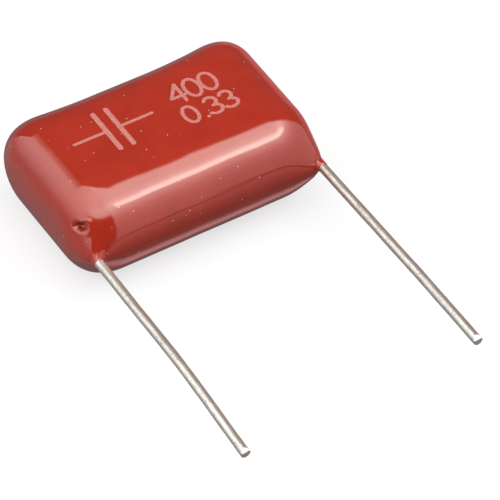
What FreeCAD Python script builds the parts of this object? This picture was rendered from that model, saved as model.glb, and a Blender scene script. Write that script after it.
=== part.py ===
import FreeCAD, Part

import math
import os

import Sketcher
from FreeCAD import Vector

# Dipped film capacitor, lying on its broad underside.
# X runs along the lead pitch, the leads leave towards -Y, and Z points up.
# The origin is the middle of the flat underside of the coating.

doc = FreeCAD.newDocument("FilmCapacitor")

# Driving dimensions, in millimetres and degrees
DRIVING_SIZES = [
    ("leadPitch", 20.0, "distance between the two lead axes"),
    ("leadDiameter", 0.8, "tinned round wire"),
    ("leadOverlap", 9.5, "length of lead that lies along the sprayed end"),
    ("leadSeat", 0.1, "depth that the lead is pressed into the sprayed metal"),
    ("leadStub", 1.2, "straight lead in front of the coating, before the bow"),
    ("bowRadius", 215.0, "long bend that handling gave both leads"),
    ("bowAngle", 4.5, "turn of that bend, downwards"),
    ("bowLeanLeft", 10.0, "lean of the left bow out of the upright"),
    ("bowLeanRight", 36.0, "lean of the right bow out of the upright"),
    ("leadTip", 4.2, "straight end of the lead after the bow"),
    ("cutSetback", 0.35, "length of the sloping facet that the shears left"),
    ("cutDepth", 0.42, "how far down the end the facet reaches"),
    ("rollHeight", 13.8, "pressed roll, along the leads"),
    ("rollThickness", 7.1, "pressed roll, between its broad faces"),
    ("slitLength", 6.5, "arbor hole of the roll after pressing"),
    ("slitGap", 0.2, "what pressing left of that hole"),
    ("sprayThickness", 0.45, "sprayed metal on the film edges"),
    ("sprayInset", 0.15, "margin of bare film edge round the spray"),
    ("solderLength", 5.0, "tin along the lead"),
    ("solderWidth", 2.4, "tin across the lead"),
    ("solderCover", 0.12, "tin over the outside of the lead"),
    ("coatFace", 0.8, "coating over each broad face"),
    ("coatFront", 0.85, "coating over the lead side"),
    ("coatRear", 0.75, "coating over the far side"),
    ("coatLeft", 1.05, "coating outside the left lead"),
    ("coatRight", 0.65, "coating outside the right lead"),
    ("endRounding", 3.45, "radius round both ends of the coating"),
    ("lumpReach", 7.6, "distance from an end where its drained lump starts"),
    ("lumpLeft", 1.1, "swell of the far left corner"),
    ("lumpRight", 1.6, "swell of the far right corner"),
    ("neckReach", 0.05, "resin along the lead past the front of the coating"),
    ("neckWall", 0.12, "resin round the lead at its edge"),
    ("neckMargin", 0.05, "root of the neck inside the end of the coating"),
    ("neckRootDepth", 2.5, "root of the neck behind its edge"),
    ("neckRootRadius", 2.1, "neck at its root, inside the coating"),
    ("neckWaistDepth", 1.0, "waist of the neck behind its edge"),
    ("neckWaistRadius", 1.15, "neck at its waist"),
    ("craterRadius", 0.38, "pinhole that a bubble left in the left end"),
    ("craterForward", 5.65, "pinhole in front of the middle"),
    ("craterHeight", 6.65, "pinhole above the underside"),
]
sizes = doc.addObject("Spreadsheet::Sheet", "Sizes")
for row, (alias, value, meaning) in enumerate(DRIVING_SIZES, start=1):
    sizes.set("A%d" % row, alias)
    sizes.set("B%d" % row, str(value))
    sizes.set("C%d" % row, meaning)
    sizes.setAlias("B%d" % row, alias)
doc.recompute()

# Places that several pieces share, worked out from the sheet.
# Every expression is a positive distance from an origin plane.
MIDDLE = "(Sizes.rollThickness / 2 + Sizes.coatFace)"
FRONT = "(Sizes.rollHeight / 2 + Sizes.coatFront)"
REAR = "(Sizes.rollHeight / 2 + Sizes.coatRear)"
LEAD_AXIS = "(Sizes.leadPitch / 2)"
LEAD_RADIUS = "(Sizes.leadDiameter / 2)"
LEFT_END = "(%s + %s + Sizes.coatLeft)" % (LEAD_AXIS, LEAD_RADIUS)
RIGHT_END = "(%s + %s + Sizes.coatRight)" % (LEAD_AXIS, LEAD_RADIUS)
LEAD_INNER_END = "(Sizes.leadOverlap - Sizes.rollHeight / 2)"
SPRAY_FACE = "(%s - %s + Sizes.leadSeat)" % (LEAD_AXIS, LEAD_RADIUS)
ROLL_END = "(%s - Sizes.sprayThickness)" % SPRAY_FACE
NECK_EDGE = "(%s + Sizes.neckReach)" % FRONT
BOW_START = "(%s + Sizes.leadStub)" % NECK_EDGE

QUARTER = math.pi / 2
UP = Vector(0, 0, 1)
HAIR = 1e-4


def valueOf(expression):
    """Number that an expression on the sheet gives now, to draw a sketch near its size."""
    return float(sizes.evalExpression(expression))


def newBody(name):
    body = doc.addObject("PartDesign::Body", name)
    body.Label = name
    return body


def sketchOn(body, plane, name, offset="0"):
    """Sketch on one of the body's origin planes, moved along that plane's normal."""
    sketch = body.newObject("Sketcher::SketchObject", name)
    support = [item for item in body.Origin.OriginFeatures if item.Role == plane][0]
    sketch.AttachmentSupport = [(support, "")]
    sketch.MapMode = "FlatFace"
    sketch.setExpression("AttachmentOffset.Base.z", offset)
    return sketch


def bind(sketch, kind, geometry, name, expression):
    """Dimension of a sketch that follows the sheet."""
    constraint = Sketcher.Constraint(kind, *geometry, valueOf(expression))
    sketch.renameConstraint(sketch.addConstraint(constraint), name)
    sketch.setExpression("Constraints." + name, expression)


def fix(sketch, point, across, up, name):
    """Place a point by its distances from the sketch's origin: (sign, expression) pairs."""
    for kind, (sign, expression) in (("DistanceX", across), ("DistanceY", up)):
        ends = (-1, 1) + point if sign > 0 else point + (-1, 1)
        bind(sketch, kind, ends, name + kind[-1], expression)


def drawFlatOval(sketch, front, rear, radius):
    """Section of a pressed roll across X: two straight faces and two half rounds."""
    low, high = valueOf(MIDDLE) - valueOf(radius), valueOf(MIDDLE) + valueOf(radius)
    frontCentre = Vector(valueOf(radius) - valueOf(front), valueOf(MIDDLE), 0)
    rearCentre = Vector(valueOf(rear) - valueOf(radius), valueOf(MIDDLE), 0)
    sketch.addGeometry([
        Part.LineSegment(Vector(frontCentre.x, low, 0), Vector(rearCentre.x, low, 0)),
        Part.ArcOfCircle(Part.Circle(rearCentre, UP, valueOf(radius)), -QUARTER, QUARTER),
        Part.LineSegment(Vector(rearCentre.x, high, 0), Vector(frontCentre.x, high, 0)),
        Part.ArcOfCircle(Part.Circle(frontCentre, UP, valueOf(radius)), QUARTER, 3 * QUARTER),
    ])
    for first, second in ((0, 1), (1, 2), (2, 3), (3, 0)):
        sketch.addConstraint(Sketcher.Constraint("Tangent", first, 2, second, 1))
    sketch.addConstraint(Sketcher.Constraint("Horizontal", 0))
    bind(sketch, "Radius", (1,), "rounding", radius)
    bind(sketch, "DistanceY", (-1, 1, 1, 3), "middle", MIDDLE)
    bind(sketch, "DistanceX", (3, 3, -1, 1), "front", "%s - %s" % (front, radius))
    bind(sketch, "DistanceX", (-1, 1, 1, 3), "rear", "%s - %s" % (rear, radius))


def drawCircle(sketch, across, up, radius):
    centre = Vector(across[0] * valueOf(across[1]), up[0] * valueOf(up[1]), 0)
    circle = sketch.addGeometry(Part.Circle(centre, UP, valueOf(radius)))
    fix(sketch, (circle, 3), across, up, "centre")
    bind(sketch, "Radius", (circle,), "radius", radius)


def pad(body, sketch, name, length, midplane=False, backwards=False):
    feature = body.newObject("PartDesign::Pad", name)
    feature.Profile = sketch
    feature.setExpression("Length", length)
    feature.Midplane = midplane
    feature.Reversed = backwards
    return feature


def cut(name, base, tool):
    """What is left of one piece's form once its neighbour has taken its own room."""
    piece = doc.addObject("Part::Cut", name)
    piece.Label = name
    piece.Base = base
    piece.Tool = tool
    return piece


# Roll of film, wound on an arbor and pressed flat
HALF_THICKNESS = "(Sizes.rollThickness / 2)"
rollForm = newBody("roll_form")
rollSection = sketchOn(rollForm, "YZ_Plane", "RollSection")
drawFlatOval(rollSection, "Sizes.rollHeight / 2", "Sizes.rollHeight / 2", HALF_THICKNESS)
pad(rollForm, rollSection, "RollPad", "2 * " + ROLL_END, midplane=True)

slitForm = newBody("arbor_slit_form")
slitSection = sketchOn(slitForm, "YZ_Plane", "SlitSection")
drawFlatOval(slitSection, "Sizes.slitLength / 2", "Sizes.slitLength / 2", "(Sizes.slitGap / 2)")
pad(slitForm, slitSection, "SlitPad", "2 * " + ROLL_END, midplane=True)

filmWinding = cut("film_winding", rollForm, slitForm)


# Leads, each with its sprayed end and its solder
def onBowPlane(body, name, sign, lean):
    """Sketch whose origin lies on the lead's axis, in the plane that the lead bows in."""
    sketch = sketchOn(body, "YZ_Plane", name, "%d * %s" % (sign, LEAD_AXIS))
    sketch.AttachmentOffset = FreeCAD.Placement(Vector(), FreeCAD.Rotation(Vector(1, 0, 0), 1))
    sketch.setExpression("AttachmentOffset.Base.y", MIDDLE)
    sketch.setExpression("AttachmentOffset.Rotation.Angle", "%d * %s" % (-sign, lean))
    return sketch


def makeLead(side, sign, lean):
    """Round wire: straight along the sprayed end, a long shallow bow, and a straight sheared tip."""
    body = newBody("lead_" + side)
    path = onBowPlane(body, "LeadPath_" + side, sign, lean)
    radius = valueOf("Sizes.bowRadius")
    angle = math.radians(valueOf("Sizes.bowAngle"))
    bowStart = Vector(-valueOf(BOW_START), 0, 0)
    circle = Part.Circle(bowStart - Vector(0, radius, 0), UP, radius)
    bow = Part.ArcOfCircle(circle, QUARTER, QUARTER + angle)
    tipRun = Vector(math.cos(angle), math.sin(angle), 0) * valueOf("Sizes.leadTip")
    path.addGeometry([
        Part.LineSegment(Vector(valueOf(LEAD_INNER_END), 0, 0), bowStart),
        bow,
        Part.LineSegment(bow.EndPoint, bow.EndPoint - tipRun),
    ])
    path.addConstraint(Sketcher.Constraint("PointOnObject", 0, 1, -1))
    path.addConstraint(Sketcher.Constraint("Horizontal", 0))
    path.addConstraint(Sketcher.Constraint("Tangent", 0, 2, 1, 1))
    path.addConstraint(Sketcher.Constraint("Tangent", 1, 2, 2, 1))
    bind(path, "DistanceX", (-1, 1, 0, 1), "innerEnd", LEAD_INNER_END)
    bind(path, "DistanceX", (0, 2, -1, 1), "bowStart", BOW_START)
    bind(path, "Radius", (1,), "bowRadius", "Sizes.bowRadius")
    bind(path, "Angle", (1,), "bowAngle", "Sizes.bowAngle")
    bind(path, "Distance", (2,), "tip", "Sizes.leadTip")

    section = sketchOn(body, "XZ_Plane", "LeadSection_" + side, "-1 * " + LEAD_INNER_END)
    drawCircle(section, (sign, LEAD_AXIS), (1, MIDDLE), LEAD_RADIUS)
    wire = body.newObject("PartDesign::AdditivePipe", "LeadWire_" + side)
    wire.Profile = section
    wire.Spine = path
    doc.recompute()
    shearTip(body, side, sign, lean, path)
    return body


def shearTip(body, side, sign, lean, path):
    """Sloping facet on the upper side of the cut end, as side cutters leave it."""
    facet = onBowPlane(body, "TipFacet_" + side, sign, lean)
    doc.recompute()
    facet.addExternal(path.Name, "Edge3")
    tipLine = -3
    start, end = path.Geometry[2].StartPoint, path.Geometry[2].EndPoint
    along = (start - end).normalize()
    outwards = Vector(along.y, -along.x, 0) * -1
    corner = end + outwards * valueOf(LEAD_RADIUS)
    low = corner - outwards * valueOf("Sizes.cutDepth")
    back = corner + along * valueOf("Sizes.cutSetback")
    facet.addGeometry([Part.LineSegment(corner, low), Part.LineSegment(low, back),
                       Part.LineSegment(back, corner)])
    for first, second in ((0, 1), (1, 2), (2, 0)):
        facet.addConstraint(Sketcher.Constraint("Coincident", first, 2, second, 1))
    facet.addConstraint(Sketcher.Constraint("Perpendicular", 0, tipLine))
    facet.addConstraint(Sketcher.Constraint("Parallel", 2, tipLine))
    facet.addConstraint(Sketcher.Constraint("PointOnObject", tipLine, 2, 0))
    bind(facet, "Distance", (tipLine, 2, 0, 1), "top", LEAD_RADIUS)
    bind(facet, "Distance", (0,), "depth", "Sizes.cutDepth")
    bind(facet, "Distance", (2,), "setback", "Sizes.cutSetback")
    notch = body.newObject("PartDesign::Pocket", "TipCut_" + side)
    notch.Profile = facet
    notch.Type = "Length"
    notch.Midplane = True
    notch.setExpression("Length", "2 * Sizes.leadDiameter")


def makeSpray(side, sign):
    """Plate of sprayed metal over one end of the roll."""
    body = newBody("spray_form_" + side)
    section = sketchOn(body, "YZ_Plane", "SpraySection_" + side, "%d * %s" % (sign, ROLL_END))
    inset = "(Sizes.rollHeight / 2 - Sizes.sprayInset)"
    drawFlatOval(section, inset, inset, "(Sizes.rollThickness / 2 - Sizes.sprayInset)")
    pad(body, section, "SprayPad_" + side, "Sizes.sprayThickness", backwards=sign < 0)
    return body


def makeSolder(side, sign):
    """Dome of tin on the sprayed end, wrapped round the middle of the seated lead."""
    body = newBody("solder_form_" + side)
    centre = "(%s - Sizes.leadOverlap / 2)" % LEAD_INNER_END
    section = sketchOn(body, "XZ_Plane", "SolderSection_" + side, "-1 * " + centre)
    rise = "(Sizes.leadDiameter - Sizes.leadSeat + Sizes.solderCover)"
    radius = "((Sizes.solderWidth ^ 2 / 4 + %s ^ 2) / (2 * %s))" % (rise, rise)
    foot = sign * valueOf(SPRAY_FACE)
    low = valueOf(MIDDLE) - valueOf("Sizes.solderWidth / 2")
    high = valueOf(MIDDLE) + valueOf("Sizes.solderWidth / 2")
    crown = Vector(foot + sign * valueOf(rise), valueOf(MIDDLE), 0)
    dome = Part.Arc(Vector(foot, low, 0), crown, Vector(foot, high, 0))
    section.addGeometry([dome, Part.LineSegment(Vector(foot, high, 0), Vector(foot, low, 0))])
    start, end = (1, 2) if sign > 0 else (2, 1)
    section.addConstraint(Sketcher.Constraint("Coincident", 0, start, 1, 2))
    section.addConstraint(Sketcher.Constraint("Coincident", 0, end, 1, 1))
    section.addConstraint(Sketcher.Constraint("Vertical", 1))
    fix(section, (1, 2), (sign, SPRAY_FACE), (1, "(%s - Sizes.solderWidth / 2)" % MIDDLE), "foot")
    bind(section, "DistanceY", (1, 2, 1, 1), "width", "Sizes.solderWidth")
    bind(section, "Radius", (0,), "dome", radius)
    pad(body, section, "SolderPad_" + side, "Sizes.solderLength", midplane=True)
    return body


leads = []
endForms = []
pieces = [filmWinding]
for side, sign, lean in (("left", -1, "Sizes.bowLeanLeft"), ("right", 1, "Sizes.bowLeanRight")):
    lead = makeLead(side, sign, lean)
    sprayForm = makeSpray(side, sign)
    solderForm = makeSolder(side, sign)
    pieces.append(cut("end_spray_" + side, sprayForm, lead))
    pieces.append(cut("solder_joint_" + side, solderForm, lead))
    pieces.append(lead)
    leads.append(lead)
    endForms += [sprayForm, solderForm]


# Coating: a straight front half, and a rear half that swells where the resin drained
coatForm = newBody("coat_form")
NOSE = "(%s - %s)" % (FRONT, MIDDLE)
TAIL = "(%s - %s)" % (REAR, MIDDLE)
LEFT_START = "(%s - Sizes.lumpReach)" % LEFT_END
RIGHT_START = "(%s - Sizes.lumpReach)" % RIGHT_END


def drawHalfOval(sketch, sign, centre, overlap):
    """Half of the coating's section: a half round outside, closed by a straight wall inside."""
    radius = valueOf(MIDDLE)
    middle = Vector(sign * valueOf(centre), radius, 0)
    start = -QUARTER if sign > 0 else QUARTER
    arc = Part.ArcOfCircle(Part.Circle(middle, UP, radius), start, start + 2 * QUARTER)
    wall = -sign * valueOf(overlap)
    corners = [arc.EndPoint, Vector(wall, arc.EndPoint.y, 0),
               Vector(wall, arc.StartPoint.y, 0), arc.StartPoint]
    sketch.addGeometry([arc] + [Part.LineSegment(*ends) for ends in zip(corners, corners[1:])])
    sketch.addConstraint(Sketcher.Constraint("Tangent", 0, 2, 1, 1))
    sketch.addConstraint(Sketcher.Constraint("Tangent", 3, 2, 0, 1))
    sketch.addConstraint(Sketcher.Constraint("Coincident", 1, 2, 2, 1))
    sketch.addConstraint(Sketcher.Constraint("Coincident", 2, 2, 3, 1))
    sketch.addConstraint(Sketcher.Constraint("Horizontal", 1))
    sketch.addConstraint(Sketcher.Constraint("Vertical", 2))
    bind(sketch, "Radius", (0,), "rounding", MIDDLE)
    fix(sketch, (0, 3), (sign, centre), (1, MIDDLE), "centre")
    ends = (2, 1, -1, 1) if sign > 0 else (-1, 1, 2, 1)
    bind(sketch, "DistanceX", ends, "overlap", overlap)


def drawRearPath(sketch):
    """Line of the far side, seen from above: straight, then an arc outwards at each end."""
    line = valueOf(TAIL)
    reach = valueOf("Sizes.lumpReach")
    arcs = {}
    for sign, lump, start in ((-1, "Sizes.lumpLeft", LEFT_START), (1, "Sizes.lumpRight", RIGHT_START)):
        rise = valueOf(lump)
        radius = (reach ** 2 + rise ** 2) / (2 * rise)
        turn = math.asin(reach / radius)
        circle = Part.Circle(Vector(sign * valueOf(start), line + radius, 0), UP, radius)
        low, high = sorted((-QUARTER, sign * turn - QUARTER))
        arcs[sign] = Part.ArcOfCircle(circle, low, high)
    straight = Part.LineSegment(arcs[-1].EndPoint, arcs[1].StartPoint)
    sketch.addGeometry([arcs[-1], straight, arcs[1]])
    sketch.addConstraint(Sketcher.Constraint("Tangent", 0, 2, 1, 1))
    sketch.addConstraint(Sketcher.Constraint("Tangent", 1, 2, 2, 1))
    sketch.addConstraint(Sketcher.Constraint("Horizontal", 1))
    fix(sketch, (0, 1), (-1, LEFT_END), (1, "(%s + Sizes.lumpLeft)" % TAIL), "leftEnd")
    fix(sketch, (2, 2), (1, RIGHT_END), (1, "(%s + Sizes.lumpRight)" % TAIL), "rightEnd")
    fix(sketch, (1, 1), (-1, LEFT_START), (1, TAIL), "leftStart")
    bind(sketch, "DistanceX", (-1, 1, 1, 2), "rightStart", RIGHT_START)


frontSection = sketchOn(coatForm, "YZ_Plane", "FrontSection", "-1 * " + LEFT_END)
drawHalfOval(frontSection, -1, NOSE, "Sizes.coatRear")
pad(coatForm, frontSection, "FrontHalf", "%s + %s" % (LEFT_END, RIGHT_END))

rearSection = sketchOn(coatForm, "YZ_Plane", "RearSection", "-1 * " + LEFT_END)
drawHalfOval(rearSection, 1, "(%s + Sizes.lumpLeft)" % TAIL, "Sizes.coatRear")
rearPath = sketchOn(coatForm, "XY_Plane", "RearPath", MIDDLE)
drawRearPath(rearPath)
rearHalf = coatForm.newObject("PartDesign::AdditivePipe", "RearHalf")
rearHalf.Profile = rearSection
rearHalf.Spine = rearPath
rearHalf.Mode = "Fixed"
doc.recompute()


def liesAt(edge, place):
    return all(abs(vertex.X - place) < HAIR for vertex in edge.Vertexes)


endEdges = ["Edge%d" % (index + 1) for index, edge in enumerate(rearHalf.Shape.Edges)
            if liesAt(edge, -valueOf(LEFT_END)) or liesAt(edge, valueOf(RIGHT_END))]
roundedEnds = coatForm.newObject("PartDesign::Fillet", "RoundedEnds")
roundedEnds.Base = (rearHalf, endEdges)
roundedEnds.setExpression("Radius", "Sizes.endRounding")
doc.recompute()


def addNeck(side, sign, end):
    """Resin drawn out along the lead: its outer flank runs on from the end of the coating."""
    rootFlank = "(%s - Sizes.neckMargin)" % end
    edgeRadius = "(%s + Sizes.neckWall)" % LEAD_RADIUS
    edgeFlank = "(%s + %s)" % (LEAD_AXIS, edgeRadius)
    waistFlank = "(%s + (%s - %s) * Sizes.neckWaistDepth / Sizes.neckRootDepth)" % (
        edgeFlank, rootFlank, edgeFlank)
    rings = [
        ("Root", rootFlank, "Sizes.neckRootRadius", "Sizes.neckRootDepth"),
        ("Waist", waistFlank, "Sizes.neckWaistRadius", "Sizes.neckWaistDepth"),
        ("Edge", edgeFlank, edgeRadius, "0"),
    ]
    sketches = []
    for name, flank, radius, depth in rings:
        ring = sketchOn(coatForm, "XZ_Plane", "Neck%s_%s" % (name, side),
                        "%s - %s" % (NECK_EDGE, depth))
        drawCircle(ring, (sign, "(%s - %s)" % (flank, radius)), (1, MIDDLE), radius)
        sketches.append(ring)
    neck = coatForm.newObject("PartDesign::AdditiveLoft", "Neck_" + side)
    neck.Profile = sketches[0]
    neck.Sections = sketches[1:]
    doc.recompute()


addNeck("left", -1, LEFT_END)
addNeck("right", 1, RIGHT_END)

# Pinhole on the rounded left end: a ball whose centre lies on the skin
CRATER_INSET = ("(%s - sqrt((Sizes.craterForward - %s + %s) ^ 2 + (Sizes.craterHeight - %s) ^ 2))"
                % (MIDDLE, FRONT, MIDDLE, MIDDLE))
CRATER_SINK = ("(Sizes.endRounding - sqrt(Sizes.endRounding ^ 2"
               " - (Sizes.endRounding - %s) ^ 2))" % CRATER_INSET)
crater = coatForm.newObject("PartDesign::SubtractiveSphere", "Crater")
crater.setExpression("Radius", "Sizes.craterRadius")
crater.setExpression("Placement.Base.x", "%s - %s" % (CRATER_SINK, LEFT_END))
crater.setExpression("Placement.Base.y", "-Sizes.craterForward")
crater.setExpression("Placement.Base.z", "Sizes.craterHeight")
doc.recompute()

core = doc.addObject("Part::MultiFuse", "core_form")
core.Label = "core_form"
core.Shapes = [rollForm] + endForms + leads
coating = cut("epoxy_coating", coatForm, core)
pieces.append(coating)
doc.recompute()

# Nothing is written unless every object is sound
for item in doc.Objects:
    if "Invalid" in item.State or "Error" in item.State:
        raise RuntimeError("%s did not build: %s" % (item.Label, item.State))
for piece in pieces:
    if piece.Shape.isNull() or not piece.Shape.isValid() or len(piece.Shape.Solids) != 1:
        raise RuntimeError("%s is not one sound solid" % piece.Label)

os.makedirs("parts", exist_ok=True)
for piece in pieces:
    piece.Shape.exportStep("parts/%s.step" % piece.Label)
    print("%-20s %9.3f mm3" % (piece.Label, piece.Shape.Volume))
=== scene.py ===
# A dipped film capacitor lying on its broad side, its two tinned leads towards the viewer.
import math

import bmesh
import bpy
import numpy as np
from mathutils import Matrix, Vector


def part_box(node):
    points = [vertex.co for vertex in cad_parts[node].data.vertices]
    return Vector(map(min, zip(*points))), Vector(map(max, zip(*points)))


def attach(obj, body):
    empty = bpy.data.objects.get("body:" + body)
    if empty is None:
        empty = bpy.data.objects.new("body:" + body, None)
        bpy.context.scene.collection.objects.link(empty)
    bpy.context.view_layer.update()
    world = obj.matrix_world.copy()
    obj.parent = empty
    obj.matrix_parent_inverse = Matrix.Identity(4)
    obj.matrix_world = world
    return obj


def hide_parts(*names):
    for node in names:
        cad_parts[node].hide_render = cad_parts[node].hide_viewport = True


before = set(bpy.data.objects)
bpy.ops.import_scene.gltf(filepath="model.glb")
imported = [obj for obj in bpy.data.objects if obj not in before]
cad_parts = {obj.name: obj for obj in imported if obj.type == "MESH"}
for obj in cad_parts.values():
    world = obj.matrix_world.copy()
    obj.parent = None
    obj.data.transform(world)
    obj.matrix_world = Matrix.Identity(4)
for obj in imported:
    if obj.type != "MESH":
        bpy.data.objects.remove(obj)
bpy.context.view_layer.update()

mm = 0.001                      # shapes are worked out in millimetres and stored in metres


class Socket:
    # a node's output; arithmetic on it adds Math nodes
    def __init__(self, paint, port):
        self.paint, self.port = paint, port

    def __add__(self, other):
        return self.paint.math("ADD", self, other)

    def __sub__(self, other):
        return self.paint.math("SUBTRACT", self, other)

    def __rsub__(self, other):
        return self.paint.math("SUBTRACT", other, self)

    def __mul__(self, other):
        return self.paint.math("MULTIPLY", self, other)

    def __truediv__(self, other):
        return self.paint.math("DIVIDE", self, other)

    def __rtruediv__(self, other):
        return self.paint.math("DIVIDE", other, self)

    def __neg__(self):
        return self.paint.math("MULTIPLY", self, -1.0)

    __radd__ = __add__
    __rmul__ = __mul__


class Paint:
    # the node tree of a material or of the world
    def __init__(self, owner):
        owner.use_nodes = True
        self.tree = owner.node_tree
        self.tree.nodes.clear()

    def node(self, kind, settings=None, inputs=None, out=0):
        made = self.tree.nodes.new(kind)
        for key, value in (settings or {}).items():
            if key == "stops":
                elements = made.color_ramp.elements
                while len(elements) < len(value):
                    elements.new(0.5)
                for stop, (place, colour) in zip(elements, value):
                    stop.position, stop.color = place, (*colour, 1)
            else:
                setattr(made, key, value)
        for key, value in (inputs or {}).items():
            if isinstance(value, Socket):
                self.tree.links.new(value.port, made.inputs[key])
            else:
                made.inputs[key].default_value = value
        return Socket(self, made.outputs[out]) if made.outputs else None

    def math(self, operation, a, b=0.0, clamp=False):
        return self.node("ShaderNodeMath", {"operation": operation, "use_clamp": clamp}, {0: a, 1: b})

    def vector(self, operation, a, b=(0, 0, 0), out=0):
        return self.node("ShaderNodeVectorMath", {"operation": operation}, {0: a, 1: b}, out)

    def split(self, vector):                              # its x, y and z
        first = self.node("ShaderNodeSeparateXYZ", {}, {0: vector})
        return [Socket(self, port) for port in first.port.node.outputs]

    def step(self, value, low, high, a=0.0, b=1.0):      # a up to low, b from high on, smooth between
        return self.node("ShaderNodeMapRange", {"interpolation_type": "SMOOTHSTEP"},
                         {0: value, 1: low, 2: high, 3: a, 4: b})

    def curve(self, value, points, span, tallest):       # straight lines through points, over a span of values
        low, high = span
        stops = [((at - low) / (high - low), (height / tallest,) * 3) for at, height in points]
        share = (value - low) / (high - low)
        return self.node("ShaderNodeValToRGB", {"stops": stops}, {0: share}) * tallest

    def mix(self, factor, a, b):                          # of two colours
        a, b = (c if isinstance(c, Socket) or len(c) == 4 else (*c, 1) for c in (a, b))
        return self.node("ShaderNodeMix", {"data_type": "RGBA"}, {0: factor, 6: a, 7: b}, out=2)

    def millimetres(self):
        return self.vector("MULTIPLY", self.node("ShaderNodeTexCoord", out="Object"), (1 / mm,) * 3)

    def noise(self, place, scale, detail=2.0, roughness=0.5):
        return self.node("ShaderNodeTexNoise", {"noise_dimensions": "3D"},
                         {"Vector": place, "Scale": scale, "Detail": detail, "Roughness": roughness})

    def bump(self, height, strength, depth):
        return self.node("ShaderNodeBump", {}, {"Strength": strength, "Distance": depth * mm, "Height": height})

    def principled(self, inputs):
        surface = self.node("ShaderNodeBsdfPrincipled", {}, inputs)
        self.node("ShaderNodeOutputMaterial", {}, {0: surface})


def newMaterial(name):
    material = bpy.data.materials.new(name)
    return material, Paint(material)


def dress(piece, material):
    piece.data.materials.clear()
    piece.data.materials.append(material)


def newPiece(name, mesh):
    piece = bpy.data.objects.new(name, mesh)
    bpy.context.scene.collection.objects.link(piece)
    return piece


def readPoints(items, key="co"):
    flat = np.empty(len(items) * 3)
    items.foreach_get(key, flat)
    return flat.reshape(-1, 3)


def writePoints(mesh, points):
    mesh.vertices.foreach_set("co", np.ascontiguousarray(points).ravel())
    mesh.update()


def ramp(value, low=0, high=1):                           # 0 up to low, 1 from high on, smooth between
    t = np.clip((value - low) / (high - low), 0, 1)
    return t * t * (3 - 2 * t)


def unit(vectors):
    return vectors / np.linalg.norm(vectors, axis=-1)[..., None]


# The camera stands where the photograph was taken from.
view = {
    "place": (-87.601, -173.295, 185.199),                # mm
    "right": (0.860177, -0.508936, -0.032851),
    "up": (0.378250, 0.593439, 0.710463),
    "back": (-0.342085, -0.623550, 0.702967),
    "lens": 238.65, "sensor": 36,                         # mm
    "clip": (0.01, 5),                                    # m
}


def makeCamera():
    camera = bpy.data.objects.new("camera", bpy.data.cameras.new("camera"))
    bpy.context.scene.collection.objects.link(camera)
    camera.data.sensor_width, camera.data.lens = view["sensor"], view["lens"]
    camera.data.clip_start, camera.data.clip_end = view["clip"]
    turn = Matrix((view["right"], view["up"], view["back"])).transposed().to_4x4()
    camera.matrix_world = Matrix.Translation([c * mm for c in view["place"]]) @ turn
    bpy.context.scene.camera = camera
    bpy.context.scene.view_settings.view_transform = "Standard"


studio = {
    "level": 0.4,               # brings a white card facing up to 1
    "tint": (1.0, 0.975, 1.0), "tintAbove": (1.0, 0.975, 0.94), "tintTurns": (30, 48),
    "white": 12.0,              # brightest value of the lines below
    # brightness by elevation in degrees, seen from the part, in each direction
    "tent": [(-90, .7), (-77, .8), (-73, 1.3), (-68, 1.3), (-63, .5), (-55, .35), (-45, .3), (-30, .5),
             (-20, .8), (-11.3, 1.05), (-10.3, .9), (-9.8, .05), (-8.8, .05), (-8.0, 1.2), (0, 1.5),
             (10, 1.6), (20, 1.9), (30, 2.5), (36, 3.2), (40, 4.1), (44, 4.9), (48, 6.0), (56, 8.2),
             (60, 8.6), (64, 7.4), (68, 6.6), (90, 5.5)],
    "camera": [(-90, .3), (-5, .1), (37, .06), (40, .6), (43, 3.6), (46, 5.0), (54, 6.0), (60, 6.0),
               (66, 5.4), (90, 5.3)],
    "wall": [(-90, .4), (-45, .42), (-30, .6), (-18, .64), (-7, .72), (0, 1.05), (13, 2.0), (20, 2.4),
             (28, 3.0), (37, 3.3), (45, 3.6), (65, 4.4), (75, 5.0), (90, 5.5)],
    "room": [(-90, .3), (-60, .3), (-40, .4), (-20, .42), (-6, .4), (3, .2), (90, .2)],
    # edge of the dark room behind, in plan: the degrees from overhead at which it starts, by degrees sideways
    "roomEdge": [(-60, 140), (-32, 110), (-28.5, 90), (-28, 70), (-27, 57), (-25, 48.5), (-22.5, 44.8),
                 (-19, 43.0), (-15, 41.7), (-11, 40.6), (-7, 38.4), (-3.5, 34), (0, 27.5), (4, 21.5),
                 (9, 16), (13, 12.8), (16.5, 10), (18.5, 7), (20, 3.5), (22, 2.5), (25, 0.5), (35, -1),
                 (47, -4), (55, -3), (65, 1), (100, 14), (160, 24)],
    "edgeSpan": (-60, 160), "edgeFarthest": 150,
    # a patch of light rises and falls by elevation, and then by azimuth
    "strip": 8.6, "stripPatch": ((46.8, 50.2), (61, 52), (24.5, 30), (80, 52)),    # the lamp over the front
    "glow": (1.0, 0.06, 0.05),                            # cards close under the part, lit red by it
    "glowPatches": (((-92, -91), (-60, -65), (40, 56), (128, 112)),
                    ((-42, -26), (4, -6), (96, 115), (162, 142))),
    # seams between the directions, in degrees: where they lie and how soft they are, with changes that
    # are given as low, high, and what is added at each
    "cameraSeam": (11, 6), "cameraWider": (44, 62, 0, 12),
    "wallSeam": -65, "wallShift": (28, 8, 0, 6),
    "wallSoft": 3, "wallSofter": ((-25, -60, 0, 19), (38, 54, 0, 30)),
    "roomSoft": 2.5, "roomSofter": (-20, 0, 0, 1.5), "roomShift": (0, -18, 0, 14),
}


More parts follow.
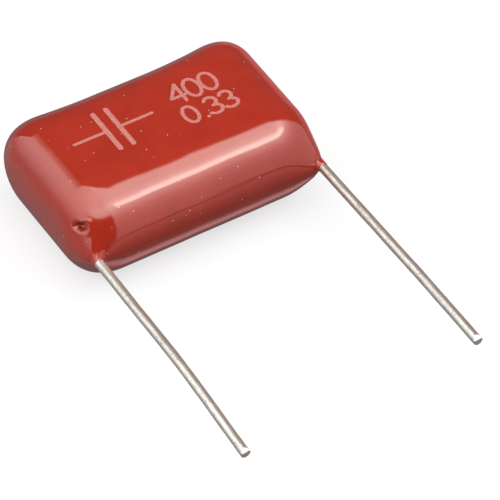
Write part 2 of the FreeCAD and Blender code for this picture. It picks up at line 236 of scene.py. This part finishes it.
def makeStudio():
    world = bpy.data.worlds.new("studio")
    bpy.context.scene.world = world
    p = Paint(world)
    x, y, z = p.split(p.node("ShaderNodeTexCoord"))
    azimuth = p.math("ARCTAN2", x, -y) * math.degrees(1)
    elevation = p.math("ARCSINE", z) * math.degrees(1)
    fromTop, level = 90 - elevation, p.math("SQRT", x * x + y * y)
    aside, behind = fromTop * x / level, fromTop * y / level

    def byElevation(name):
        return p.curve(elevation, studio[name], (-90, 90), studio["white"])

    def patch(up, down, near, far):
        high = p.step(elevation, *up) * p.step(elevation, *down)
        return high * p.step(azimuth, *near) * p.step(azimuth, *far)

    light = byElevation("tent") + patch(*studio["stripPatch"]) * studio["strip"]
    # each direction takes over from the last where its mask rises
    seam, wider = studio["cameraSeam"], p.step(elevation, *studio["cameraWider"])
    soft = studio["wallSoft"] + sum(p.step(elevation, *more) for more in studio["wallSofter"])
    past = azimuth - studio["wallSeam"] + p.step(elevation, *studio["wallShift"])
    sideways = aside - p.step(elevation, *studio["roomShift"])
    edge = p.curve(sideways, studio["roomEdge"], studio["edgeSpan"], studio["edgeFarthest"])
    near = studio["roomSoft"] + p.step(aside, *studio["roomSofter"])
    for name, mask in (
        ("camera", p.step(azimuth, seam[0] + wider, seam[1] - wider)),
        ("wall", p.step(past, soft, -soft)),
        ("room", p.step(behind - edge, -near, near)),
    ):
        light = light * (1 - mask) + byElevation(name) * mask
    glow = sum(patch(*place) for place in studio["glowPatches"])
    tint = p.mix(p.step(elevation, *studio["tintTurns"]), studio["tint"], studio["tintAbove"])
    colour = p.vector("ADD", p.vector("MULTIPLY", light, tint), p.vector("MULTIPLY", glow, studio["glow"]))
    lit = p.node("ShaderNodeBackground", {}, {"Color": colour, "Strength": studio["level"]})
    white = p.node("ShaderNodeBackground", {}, {"Color": (1, 1, 1, 1), "Strength": 1.0})
    seen = p.node("ShaderNodeLightPath", out="Is Camera Ray")
    p.node("ShaderNodeOutputWorld", {}, {0: p.node("ShaderNodeMixShader", {}, {0: seen, 1: lit, 2: white})})


floorSheet = {
    "radius": 240.0, "middle": (0.0, -11.0), "under": 0.02,          # mm
    "fade": (26.0, 60.0),                 # turns to plain white between these distances
    "seen": (0.955, 0.98, 1.0), "shade": 0.3,
    "lit": 0.72, "paintedShadeInFront": 0.18,        # what it gives back to the part, and the painted shade in front of it, where it gives back less
    "frontFrom": (7, 1), "frontSide": (-15, -10), "frontCorner": -4, "frontSlant": 1.5,
}


def makeFloor():
    mesh = bpy.data.meshes.new("floor")
    work = bmesh.new()
    bmesh.ops.create_circle(work, cap_ends=True, radius=floorSheet["radius"] * mm, segments=96)
    work.to_mesh(mesh)
    work.free()
    floor = newPiece("floor", mesh)
    floor.location = [c * mm for c in (*floorSheet["middle"], -floorSheet["under"])]
    material, p = newMaterial("pale card")
    place = p.millimetres()
    camera, glossy, through = (p.node("ShaderNodeLightPath", out="Is " + ray + " Ray")
                               for ray in ("Camera", "Glossy", "Transmission"))
    shown = p.math("ADD", camera + glossy, through, clamp=True)
    x, y = p.split(place)[:2]
    # painted shade: in front of the part the floor's colour for light it gives back is darker, standing in for
    # shade there
    slanted = x - p.math("MINIMUM", y - floorSheet["frontCorner"], 0) * floorSheet["frontSlant"]
    front = p.step(y, *floorSheet["frontFrom"]) * p.step(slanted, *floorSheet["frontSide"])
    bounceWithPaintedShade = floorSheet["lit"] + front * (floorSheet["paintedShadeInFront"] - floorSheet["lit"])
    matt = p.node("ShaderNodeBsdfDiffuse", {}, {"Color": p.mix(camera, bounceWithPaintedShade, floorSheet["seen"])})
    white = p.node("ShaderNodeEmission", {}, {"Color": (1, 1, 1, 1), "Strength": 1.0})
    far = p.step(p.vector("LENGTH", place, out=1), *floorSheet["fade"])
    pale = p.math("MAXIMUM", far, 1 - floorSheet["shade"])
    both = p.node("ShaderNodeMixShader", {}, {0: pale * shown, 1: matt, 2: white})
    p.node("ShaderNodeOutputMaterial", {}, {0: both})
    dress(floor, material)
    floor.visible_glossy = False          # the studio's own lower half is what the gloss shows


makeCamera()
makeStudio()
makeFloor()
print("stage: camera, studio and floor")


# The dipped coat is a field, below zero inside, and its mesh is settled on the skin.
coat = {
    "left": 11.41, "right": 11.00,        # ends, from the middle of the lead pitch
    "front": 7.75, "rear": 7.65,          # the side the leads leave, and the one that hung lowest
    "thick": 8.7,
    "endRound": 4.0, "endPower": 2.4,     # the ends' rounding, and how gently it starts (2 for a plain round)
    "lumps": (0.70, 1.10),                # how far the drained resin stands out at the two rear corners
    "lumpReach": 8.9,
    "flare": (0.080, 0.133), "flareAt": 7.5,      # how much wider the rear is than the front, at each end
    "wires": {-1: 10.195, 1: 10.05},      # where each lead leaves, from the middle
    "neckTip": {-1: 7.84, 1: 7.95}, "neckWall": 0.04, "neckDepth": 2.2,
    # each neck by depth: its growth, how that eases, its drift outwards and up, its flatness, its blend's width
    "necks": {-1: (1.177, -0.072, -1.335, 0.037, 0.187, 0.23), 1: (0.26, -0.078, -1.078, -0.003, -0.21, 0.14)},
    "neckFlatBy": 1.2, "blendOpens": (-0.1, 0.8), "blendFades": (0.8, 2.1),
    # the resin that gathered round each lead: its place, how full it is and how far it reaches
    "gathered": (((-10.218, -7.195, 4.382), 0.526, 1.387), ((9.967, -7.396, 4.165), 0.687, 1.689)),
    "lipLength": 0.12, "lipThin": 0.06,   # the resin climbs this far up the wire, and thins out by this much
    "waves": 0.006, "waveLength": 5.0,    # unevenness of the dried skin
    "waveShares": (1.0, 0.55, 0.3), "waveCount": 7, "waveSeed": 11,
    "flatBelow": 1.4,                     # the waves die out from this height down
    "rays": (1.0, 18.0),                  # the skin is looked for between these distances from the middle
    "cell": 0.14,                         # size of the mesh's faces
    "finer": (1.5, 0.9),                  # halved within each of these distances of the small forms
    "tipReach": 0.8,                      # round each neck's tip, where the mesh's own normals hold
}
crater = {
    "place": (-10.55, -5.67, 6.64), "radius": 0.33, "depth": 0.55, "reach": 1.3,
    "wall": 3.2,                          # the slope ends at this many radii
    "rim": 0.032, "rimAt": 2.1, "rimWidth": 0.6, "rimUneven": 0.6,             # place and width in radii too
    "lobes": ((2, 0.24, math.pi / 2 - 0.3), (3, 0.07, 2.1), (5, 0.04, 0)),     # its outline is no true round
    "knots": 0.008, "knotsWithin": 1.9, "knotsPerMm": (17, 15),
}


def softMin(a, b, width):
    h = np.clip(width - np.abs(a - b), 0, None) / width
    return np.minimum(a, b) - h * h * width / 4


def bodyField(p):
    x, y, z = p[..., 0], p[..., 1], p[..., 2]
    half, middle = (coat["right"] + coat["left"]) / 2, (coat["right"] - coat["left"]) / 2
    radius, corner, power = coat["thick"] / 2, coat["endRound"], coat["endPower"]
    across = x - middle
    across = across / (1 + np.where(across < 0, *coat["flare"]) * y / coat["flareAt"] / half)
    start, reach = half - coat["lumpReach"], coat["lumpReach"]
    swell = [np.clip((side * across - start) / reach, 0, 1.2) ** 2 for side in (-1, 1)]
    back = coat["rear"] - radius + coat["lumps"][0] * swell[0] + coat["lumps"][1] * swell[1]
    around = np.hypot(y - np.clip(y, radius - coat["front"], back), z - radius) - radius
    a, b = around + corner, np.abs(across) - half + corner
    outer = (np.maximum(a, 0) ** power + np.maximum(b, 0) ** power) ** (1 / power)
    return np.minimum(np.maximum(a, b), 0) + outer - corner


def neckField(p, side):
    grow, ease, out, up, flat, blend = coat["necks"][side]
    edge, thin = lead["radius"] + coat["neckWall"], coat["lipThin"]
    x, y, z = p[..., 0] * side, p[..., 1], p[..., 2]
    s = y + coat["neckTip"][side]                         # 0 where the neck meets the lip
    deep = np.clip(s, 0, 4)
    lip = np.clip(1 + s / coat["lipLength"], 0, 1)
    wider = grow * deep + ease * deep ** 2
    r = edge + wider - thin * (1 - lip) ** 2
    tilt = np.where(s > 0, grow + 2 * ease * deep, 0)
    high = (z - coat["thick"] / 2 - up * deep) / (1 + flat * ramp(deep, 0, coat["neckFlatBy"]))
    shift = np.maximum(out * deep, -wider)                # never so far that the wire shows
    cone = (np.hypot(x - coat["wires"][side] - shift, high) - r) / np.hypot(1, tilt)
    # the blend is narrow at the lip and fades out again where the neck is lost in the body
    width = thin + (blend - thin) * ramp(s, *coat["blendOpens"]) * (1 - ramp(s, *coat["blendFades"]))
    return np.maximum(np.maximum(cone, -s - coat["lipLength"]), s - coat["neckDepth"]), width


def makeWaves():
    random, count = np.random.default_rng(coat["waveSeed"]), coat["waveCount"]
    sets = []
    for share in coat["waveShares"]:
        ways = unit(random.normal(size=(count, 3))) * 2 * math.pi / (coat["waveLength"] * share)
        sets.append((ways, random.uniform(0, 6.28, count), share ** 2 / count ** 0.5))
    return sets


waveSets = makeWaves()


def waves(p):
    total = sum(share * np.sin(p @ ways.T + phases).sum(-1) for ways, phases, share in waveSets)
    return total * coat["waves"] * ramp(p[..., 2], 0, coat["flatBelow"])    # the underside stays flat


def skinField(p):
    f = bodyField(p)
    for place, full, reach in coat["gathered"]:
        f = f - full * np.exp(-((p - place) ** 2).sum(-1) / reach ** 2)
    for side in (-1, 1):
        f = softMin(f, *neckField(p, side))
    return f - waves(p)


def slope(p, step=0.002):
    return np.stack([(skinField(p + step * e) - skinField(p - step * e)) / (2 * step) for e in np.eye(3)], -1)


def settle(p, rounds=6):                                  # moves points onto the skin
    for _ in range(rounds):
        g = slope(p)
        p = p - (skinField(p) / np.maximum((g * g).sum(-1), 0.2))[..., None] * g
    return p


def craterMiddle():
    return settle(np.array([crater["place"]], float), 5)[0]


def craterHeight(points):
    middle = craterMiddle()
    axis = unit(slope(middle[None])[0])
    u = unit(np.cross(axis, (0, 0, 1)))
    v = np.cross(axis, u)
    d = points - middle
    a, b, away = d @ u, d @ v, np.linalg.norm(d, axis=-1)
    angle = np.arctan2(b, a)
    uneven = 1 + sum(size * np.sin(count * angle + turn) for count, size, turn in crater["lobes"])
    r = away / (crater["radius"] * uneven)
    pit = -crater["depth"] / (1 + r ** 4) * np.exp(-(r / crater["wall"]) ** 4)
    rim = crater["rim"] * np.exp(-((r - crater["rimAt"]) / crater["rimWidth"]) ** 2)
    rim = rim * (1 + crater["rimUneven"] * np.sin(angle * 2 - 0.4))
    first, second = crater["knotsPerMm"]
    knots = crater["knots"] * np.sin(a * first + 1) * np.sin(b * second - 0.5)
    knots = knots * np.exp(-(r / crater["knotsWithin"]) ** 4)
    return np.where(away < crater["reach"], pit + rim + knots, 0)


def rayMesh():
    # a ball of rays finds the skin from inside
    mesh = bpy.data.meshes.new("epoxyCoat")
    work = bmesh.new()
    bmesh.ops.create_icosphere(work, subdivisions=6, radius=1)
    work.to_mesh(mesh)
    work.free()
    ways, heart = unit(readPoints(mesh.vertices)), np.array([0, 0, coat["thick"] / 2])
    inside, outside = (np.full(len(ways), away) for away in coat["rays"])
    for _ in range(24):                                   # halves the gap each time
        middle = (inside + outside) / 2
        hit = skinField(heart + ways * middle[:, None]) < 0
        inside, outside = np.where(hit, middle, inside), np.where(hit, outside, middle)
    writePoints(mesh, heart + ways * inside[:, None])
    return mesh


def evenMesh(piece):
    even = piece.modifiers.new("even", "REMESH")
    even.mode, even.voxel_size, even.adaptivity = "VOXEL", coat["cell"], 0
    mesh = bpy.data.meshes.new_from_object(piece.evaluated_get(bpy.context.evaluated_depsgraph_get()))
    piece.modifiers.clear()
    piece.data = mesh
    return mesh


def splitNear(mesh, spots, reach):
    work = bmesh.new()
    work.from_mesh(mesh)
    near = []
    for edge in work.edges:
        m = (edge.verts[0].co + edge.verts[1].co) / 2
        if any((m.x - x) ** 2 + (m.y - y) ** 2 + (m.z - z) ** 2 < reach ** 2 for x, y, z in spots):
            near.append(edge)
    bmesh.ops.subdivide_edges(work, edges=near, cuts=1, use_grid_fill=True)
    work.to_mesh(mesh)
    work.free()


def makeCoat():
    piece = newPiece("epoxy_coat", rayMesh())
    mesh = evenMesh(piece)
    print("coat: even mesh of", len(mesh.vertices), "points")
    writePoints(mesh, settle(readPoints(mesh.vertices)))
    # smaller faces where the form is small: the necks' lips and the crater
    tips = [np.array([side * coat["wires"][side], -coat["neckTip"][side], coat["thick"] / 2])
            for side in (-1, 1)]
    for reach in coat["finer"]:
        splitNear(mesh, (*tips, crater["place"]), reach)
    points = settle(readPoints(mesh.vertices))
    normals = unit(slope(points))
    smooth = points + normals * craterHeight(points)[:, None]
    writePoints(mesh, smooth)
    mesh.polygons.foreach_set("use_smooth", [True] * len(mesh.polygons))
    mesh.update()
    # the skin's own normals, but the mesh's where it has small forms
    near = np.linalg.norm(points - craterMiddle(), axis=1) < crater["reach"]
    for tip in tips:
        near |= np.linalg.norm(points - tip, axis=1) < coat["tipReach"]
    normals = np.where(near[:, None], readPoints(mesh.vertex_normals, "vector"), normals)
    mesh.normals_split_custom_set_from_vertices([tuple(n) for n in normals])
    writePoints(mesh, smooth * mm)
    print("coat:", len(mesh.vertices), "points,", sum(len(f.vertices) - 2 for f in mesh.polygons), "triangles")
    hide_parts("epoxy_coating")
    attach(piece, "root")
    dress(piece, makeEpoxy())


epoxy = {
    "red": (0.435, 0.030, 0.0135), "deepRed": (0.40, 0.0255, 0.012),
    "cloudsPerMm": 0.35, "cloudEdge": (0.35, 0.65),      # patches of both reds
    # pit: painted shade, the crater's inside painted dark for the shade of the deep recess
    "pit": (0.14, 0.009, 0.007), "pitShadeEdge": (0.54, 0.28),
    "roughness": 0.07, "clearRoughness": 0.04, "ior": 1.6, "specTint": (1.0, 0.90, 0.80),
    "smear": 0.04, "speckRough": 0.3, "pitRough": 0.6,    # added to the roughness
    # pale specks: partly dust, partly painted glints of tiny pimples
    "dustAndGlint": (0.86, 0.62, 0.56), "specksPerMm": 1.1, "speckEdge": (0.07, 0.035), "cellsWithout": (0.15, 0.17),
    "speckShows": 0.9, "speckRaised": 2.0,
    "peel": 0.0045,                       # mm
    "peelPerMm": (1.6, 9.0), "finePeel": 0.08,
}


def makeEpoxy():
    material, p = newMaterial("red epoxy")
    place = p.millimetres()
    cloud = p.noise(place, epoxy["cloudsPerMm"], 3.0)
    colour = p.mix(p.step(cloud, *epoxy["cloudEdge"]), epoxy["red"], epoxy["deepRed"])
    # pale specks, one in most cells: partly dust caught in the resin, partly painted glints on tiny pimples
    cells, pick = (p.node("ShaderNodeTexVoronoi", {"feature": "F1"},
                          {"Vector": place, "Scale": epoxy["specksPerMm"], "Randomness": 1.0}, out)
                   for out in ("Distance", "Color"))
    chosen = p.step(p.node("ShaderNodeSeparateColor", {}, {0: pick}), *epoxy["cellsWithout"])
    dustAndGlint = p.step(cells, *epoxy["speckEdge"]) * chosen
    colour = p.mix(dustAndGlint * epoxy["speckShows"], colour, epoxy["dustAndGlint"])
    # painted shade: the base colour goes dark inside the crater, which also loses its coat and gets a rougher
    # gloss
    pit = p.step(p.vector("DISTANCE", place, tuple(craterMiddle()), out=1), *epoxy["pitShadeEdge"])
    colour = p.mix(pit, colour, epoxy["pit"])
    rough = epoxy["roughness"] + p.noise(place, 3.0, 4.0) * epoxy["smear"]
    rough = rough + dustAndGlint * epoxy["speckRough"] + pit * epoxy["pitRough"]
    broad, fine = (p.noise(place, scale) for scale in epoxy["peelPerMm"])
    height = broad + fine * epoxy["finePeel"] + dustAndGlint * epoxy["speckRaised"]
    p.principled({
        "Base Color": colour, "Roughness": rough, "IOR": epoxy["ior"], "Specular Tint": (*epoxy["specTint"], 1),
        "Coat Weight": 1 - pit, "Coat Roughness": epoxy["clearRoughness"], "Coat IOR": epoxy["ior"],
        "Normal": p.bump(height, 0.5, epoxy["peel"]),
    })
    return material


# The printed marking is a thin sheet of ink, laid on the skin from above.
marking = {
    "stroke": 0.30, "plateStroke": 0.42,  # mm
    "numbers": [("400", (1.70, 0.55), 2.15, 1.42), ("0.33", (1.50, -2.05), 1.95, 1.40)],
    "symbolMiddle": (-3.9, 0.75), "plateHeight": 4.6, "plateGap": 1.15, "wireLength": 2.9,
    "ragged": 0.016,                      # unevenness of the strokes' edges
    "lift": 0.006, "sink": 0.02,
    "cell": 0.05, "from": (-7.9, -2.7), "to": (7.6, 4.2),
    "ink": (0.62, 0.27, 0.24), "thinInk": (0.52, 0.15, 0.125), "inkEdge": (0.38, 0.62),
    "roughness": 0.35, "rougher": 0.2, "bump": (0.4, 0.01),
}


def arcPoints(cx, cy, rx, ry, start, end, steps=18):
    return [(cx + rx * math.cos(math.radians(t)), cy + ry * math.sin(math.radians(t)))
            for t in np.linspace(start, end, steps)]


glyphs = {                        # strokes in a box 0.62 wide and 1 high
    "0": [arcPoints(0.31, 0.5, 0.29, 0.5, 0, 360, 36)],
    "3": [arcPoints(0.30, 0.74, 0.26, 0.26, 150, -80), arcPoints(0.30, 0.24, 0.31, 0.25, 85, -150)],
    "4": [[(0.46, 0.0), (0.46, 1.0), (0.0, 0.32), (0.64, 0.32)]],
    ".": [[(0.16, 0.0), (0.17, 0.0)]],
}


def strokes():
    lines = []
    for text, (x, y), size, pitch in marking["numbers"]:
        for sign in text:
            for line in glyphs[sign]:
                lines.append(([(x + size * u, y + size * v) for u, v in line], marking["stroke"]))
            x += pitch * (0.45 if sign == "." else 1.0)
    cx, cy = marking["symbolMiddle"]
    gap, tall, wire = marking["plateGap"] / 2, marking["plateHeight"] / 2, marking["wireLength"]
    for side in (-1, 1):
        plate = cx + side * gap
        lines.append(([(plate, cy - tall), (plate, cy + tall)], marking["plateStroke"]))
        lines.append(([(plate, cy), (plate + side * wire, cy)], marking["stroke"]))
    return lines


def strokeField(q, lines):                                # below zero within the strokes
    best = np.full(q.shape[:-1], 9.0)
    for line, width in lines:
        for a, b in zip(np.array(line), np.array(line)[1:]):
            t = np.clip(((q - a) @ (b - a)) / max(((b - a) ** 2).sum(), 1e-9), 0, 1)
            best = np.minimum(best, np.linalg.norm(q - a - t[..., None] * (b - a), axis=-1) - width / 2)
    x, y = q[..., 0], q[..., 1]
    uneven = np.sin(x * 23 + 2 * np.sin(y * 17)) + np.sin(y * 29 + 1.7 * np.sin(x * 19))
    return best + marking["ragged"] * uneven


def inkSheet(lines):
    # cells whose corners lie within the strokes, with the border between them and the rest
    (x0, y0), (x1, y1), cell = marking["from"], marking["to"], marking["cell"]
    grid = np.stack(np.meshgrid(np.arange(x0, x1, cell), np.arange(y0, y1, cell), indexing="ij"), -1)
    f = strokeField(grid, lines)
    kept = (f[:-1, :-1] < 0) & (f[1:, :-1] < 0) & (f[1:, 1:] < 0) & (f[:-1, 1:] < 0)
    index, flat, faces = {}, [], []
    for i, j in np.argwhere(kept):
        face = []
        for corner in ((i, j), (i + 1, j), (i + 1, j + 1), (i, j + 1)):
            if corner not in index:
                index[corner] = len(flat)
                flat.append(grid[corner])
            face.append(index[corner])
        faces.append(face)
    edges = [(face[k], face[(k + 1) % 4]) for face in faces for k in range(4)]
    known = set(edges)
    return np.array(flat), faces, [(a, b) for a, b in edges if (b, a) not in known]


def trimmed(flat, border, lines, step=0.004):
    # the border's points move onto the strokes' edge
    rim, furthest = np.array(sorted({v for edge in border for v in edge})), marking["cell"] * 0.6
    for _ in range(3):
        q = flat[rim]
        value = strokeField(q, lines)
        g = np.stack([(strokeField(q + e, lines) - strokeField(q - e, lines)) / (2 * step)
                      for e in np.eye(2) * step], -1)
        move = -value[:, None] * g / np.maximum((g * g).sum(-1), 0.3)[:, None]
        flat[rim] = q + np.clip(move, -furthest, furthest)
    return flat


def laidOnSkin(flat):
    top = np.column_stack([flat, np.full(len(flat), coat["thick"] + 0.02)])
    for _ in range(4):                                    # straight down
        lift = skinField(top)
        top[:, 2] -= lift / np.maximum((skinField(top + (0, 0, 0.002)) - lift) / 0.002, 0.5)
    return top


def makeMarking():
    lines = strokes()
    flat, faces, border = inkSheet(lines)
    top = laidOnSkin(trimmed(flat, border, lines))
    low, top, count = top - (0, 0, marking["sink"]), top + (0, 0, marking["lift"]), len(top)
    under = [[v + count for v in reversed(face)] for face in faces]
    sides = [(b, a, a + count, b + count) for a, b in border]
    mesh = bpy.data.meshes.new("markingInk")
    mesh.from_pydata((np.vstack([top, low]) * mm).tolist(), [], faces + under + sides)
    mesh.update()
    piece = newPiece("marking_ink", mesh)
    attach(piece, "root")
    material, p = newMaterial("pale ink")
    place = p.millimetres()
    grain = p.noise(place, 7.0, 3.0, 0.6)
    p.principled({"Base Color": p.mix(p.step(grain, *marking["inkEdge"]), marking["thinInk"], marking["ink"]),
                  "Roughness": marking["roughness"] + p.noise(place, 12.0) * marking["rougher"], "IOR": 1.5,
                  "Normal": p.bump(grain, *marking["bump"])})
    dress(piece, material)
    print("marking:", len(mesh.polygons), "faces")


# The tinned leads are drawn along their path, ring by ring, to a pinched and broken end.
lead = {
    "radius": 0.4, "halfPitch": 10, "exit": 7.8,
    "jog": 3,                             # within the coat it comes back to the pitch over this length
    # where it leaves, the straight stub, the bow's radius and angle in degrees, its lean and the length outside
    "paths": {-1: (10.195, 10.9, 46.1, 5.234, 5.2, 22.5), 1: (10.05, 12.0, 225, 1.546, 0.6, 22.55)},
    "around": 44, "step": 0.12,
    "uneven": 0.006, "sway": 0.006,
    "cutBack": 0.30, "cutDeep": 0.24,     # the pinched facet on top of the cut end
    "endRings": 9, "endRoom": 0.02, "burr": 0.02,
}


def leadPath(side, inner):
    start, straight, bow, turn, lean, length = lead["paths"][side]
    turn, lean, exitAt = math.radians(turn), math.radians(lean), lead["exit"]
    s = np.arange(-exitAt - inner, length, lead["step"])
    s = np.append(s[s < length - 0.05], length)
    out = np.clip(s, 0, None)
    bent = np.clip(out - straight, 0, bow * turn) / bow
    rest = np.clip(out - straight - bow * turn, 0, None)
    along = np.minimum(out, straight) + bow * np.sin(bent) + rest * math.cos(turn)
    drop = bow * (1 - np.cos(bent)) + rest * math.sin(turn)
    inwards = (lead["halfPitch"] - start) * ramp(-s, 0, lead["jog"])
    sway = lead["sway"] * np.clip(out / 4, 0, 1) * np.clip((length - out) / 4, 0, 1)
    x = side * (start + inwards + drop * math.sin(lean)) + sway * np.sin(out * 0.9 + side)
    z = coat["thick"] / 2 - drop * math.cos(lean) + sway * np.sin(out * 1.3 + 2 * side)
    return s, np.column_stack([x, -exitAt - np.where(s > 0, along, s), z])


def leadRings(side, s, path, ahead):
    out = unit(np.cross(ahead, (0, 0, 1)))
    up = np.cross(out, ahead)
    angle = np.arange(lead["around"]) * 2 * math.pi / lead["around"]
    across, high = np.cos(angle)[:, None], np.sin(angle)[:, None]
    rings = []
    for at, place, outwards, upwards in zip(s, path, out, up):
        lost = np.clip(at / 2, 0, 1) * lead["uneven"]
        r = lead["radius"] - lost * (1 + np.sin(2 * angle + at * 1.7 + side) * 0.5
                                     + np.sin(3 * angle - at * 2.9) * 0.3 + np.sin(at * 5.1 + angle) * 0.2)
        rings.append(place + r[:, None] * (across * outwards + high * upwards))
    return rings, r * np.sin(angle)


def cutEnd(rings, middle, high, ahead):
    # rings drawn in over the end face and the pinched facet above it
    last, line = rings[-1], lead["radius"] - lead["cutDeep"]

    def cut(k):
        back = lead["cutBack"] * np.clip((high * k - line) / lead["cutDeep"], 0, 1)
        burr = lead["burr"] * np.sin(high * k * 31) * (1 - k)
        return middle + (last - middle) * k - (back + burr)[:, None] * ahead

    rings[-1] = cut(1.0)
    for i in (2, 3, 4):                                   # the rings behind it make room
        room = (i - 1) * lead["endRoom"]
        past = (rings[-i] - rings[-1]) @ ahead > -room
        rings[-i] = np.where(past[:, None], rings[-1] - room * ahead, rings[-i])
    return rings + [cut(k) for k in np.linspace(1, 0, lead["endRings"])[1:-1]], middle[2] + line


def makeLead(side, name, tinned, bare):
    s, path = leadPath(side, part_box(name)[1][1] / mm)
    ahead, count = unit(np.gradient(path, axis=0)), lead["around"]
    rings, high = leadRings(side, s, path, ahead)
    tube = len(rings)
    rings, line = cutEnd(rings, path[-1], high, ahead[-1])
    faces = []
    for i in range(len(rings) - 1):
        for k in range(count):
            a, b = i * count + k, i * count + (k + 1) % count
            faces.append((a, b, b + count, a + count))
    total = len(rings) * count
    faces += [tuple(total - count + k for k in range(count)), tuple(reversed(range(count)))]
    mesh = bpy.data.meshes.new(name + "Wire")
    mesh.from_pydata((np.vstack(rings) * mm).tolist(), [], faces)
    mesh.polygons.foreach_set("use_smooth", [i < (tube - 1) * count for i in range(len(faces))])
    mesh.update()
    work = bmesh.new()
    work.from_mesh(mesh)
    bmesh.ops.recalc_face_normals(work, faces=work.faces)
    work.to_mesh(mesh)
    work.free()
    piece = newPiece(name + "_wire", mesh)
    for material in (tinned, bare):
        mesh.materials.append(material)
    # the pinched facet keeps the tin, and the broken end below it is bare
    broken = [int(i >= tube * count and f.center.z / mm < line) for i, f in enumerate(mesh.polygons)]
    mesh.polygons.foreach_set("material_index", broken)
    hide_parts(name)
    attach(piece, "root")
    print(name + ":", len(mesh.polygons), "faces")


tin = {"bright": (0.92, 0.90, 0.84), "dull": (0.80, 0.76, 0.69), "stain": (0.42, 0.36, 0.29),
       "metallic": 0.88, "roughness": 0.29}
brokenEnd = {"bright": (0.42, 0.40, 0.39), "dull": (0.42, 0.40, 0.39), "stain": (0.42, 0.36, 0.29),
             "metallic": 0.2, "roughness": 0.5}
wear = {"streaks": (9.0, 0.5, 9.0), "dullEdge": (0.40, 0.62), "stainEdge": (0.53, 0.68), "stainShows": 0.75,
        "blotchRough": 0.14, "stainRough": 0.2, "bump": (0.7, 0.02)}


def makeTin(name, finish):
    material, p = newMaterial(name)
    place = p.millimetres()
    drawn = p.noise(p.vector("MULTIPLY", place, wear["streaks"]), 1.0, 3.0)     # along the wire
    blotch = p.noise(place, 1.4, 3.0)
    stain = p.step(p.noise(place, 4.0, 5.0, 0.65), *wear["stainEdge"])
    dull = p.step(blotch * 0.6 + drawn * 0.4, *wear["dullEdge"])
    colour = p.mix(dull, finish["bright"], finish["dull"])
    colour = p.mix(stain * wear["stainShows"], colour, finish["stain"])
    rough = finish["roughness"] + blotch * wear["blotchRough"] + stain * wear["stainRough"]
    grain = p.noise(place, 14.0, 3.0)
    p.principled({"Base Color": colour, "Metallic": finish["metallic"], "Roughness": rough,
                  "Normal": p.bump(drawn + blotch * 0.5 + grain * 0.5, *wear["bump"])})
    return material


# The core is closed in by the coat: foil, sprayed zinc and solder.
coreFinishes = {
    "wound foil": {"stretch": (0.4, 6.0, 14.0), "noise": (1.0, 2.0, 0.5), "edge": (0.4, 0.6),
                   "light": (0.66, 0.67, 0.68), "dark": (0.54, 0.55, 0.57), "metallic": 0.9,
                   "roughness": (0.22, 0.15), "bump": (0.4, 0.02)},
    "sprayed zinc": {"stretch": (1, 1, 1), "noise": (6.0, 5.0, 0.7), "edge": (0.35, 0.65),
                     "light": (0.36, 0.36, 0.35), "dark": (0.52, 0.52, 0.50), "metallic": 0.8,
                     "roughness": (0.55, 0.3), "bump": (0.8, 0.08)},
    "tin solder": {"stretch": (1, 1, 1), "noise": (1.5, 3.0, 0.5), "edge": (0.4, 0.65),
                   "light": (0.74, 0.74, 0.72), "dark": (0.58, 0.58, 0.57), "metallic": 1.0,
                   "roughness": (0.24, 0.15), "bump": (0.5, 0.05)},
}


def makeCoreMetal(name):
    finish = coreFinishes[name]
    material, p = newMaterial(name)
    grain = p.noise(p.vector("MULTIPLY", p.millimetres(), finish["stretch"]), *finish["noise"])
    rough, more = finish["roughness"]
    p.principled({"Base Color": p.mix(p.step(grain, *finish["edge"]), finish["light"], finish["dark"]),
                  "Metallic": finish["metallic"], "Roughness": rough + grain * more,
                  "Normal": p.bump(grain, *finish["bump"])})
    return material


makeCoat()
makeMarking()
tinned, bare = makeTin("tinned wire", tin), makeTin("cut wire", brokenEnd)
makeLead(-1, "lead_left", tinned, bare)
makeLead(1, "lead_right", tinned, bare)
foil, spray, solder = (makeCoreMetal(name) for name in coreFinishes)
dress(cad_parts["film_winding"], foil)
for side in ("left", "right"):
    dress(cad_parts["end_spray_" + side], spray)
    dress(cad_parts["solder_joint_" + side], solder)
print("leads and core dressed")
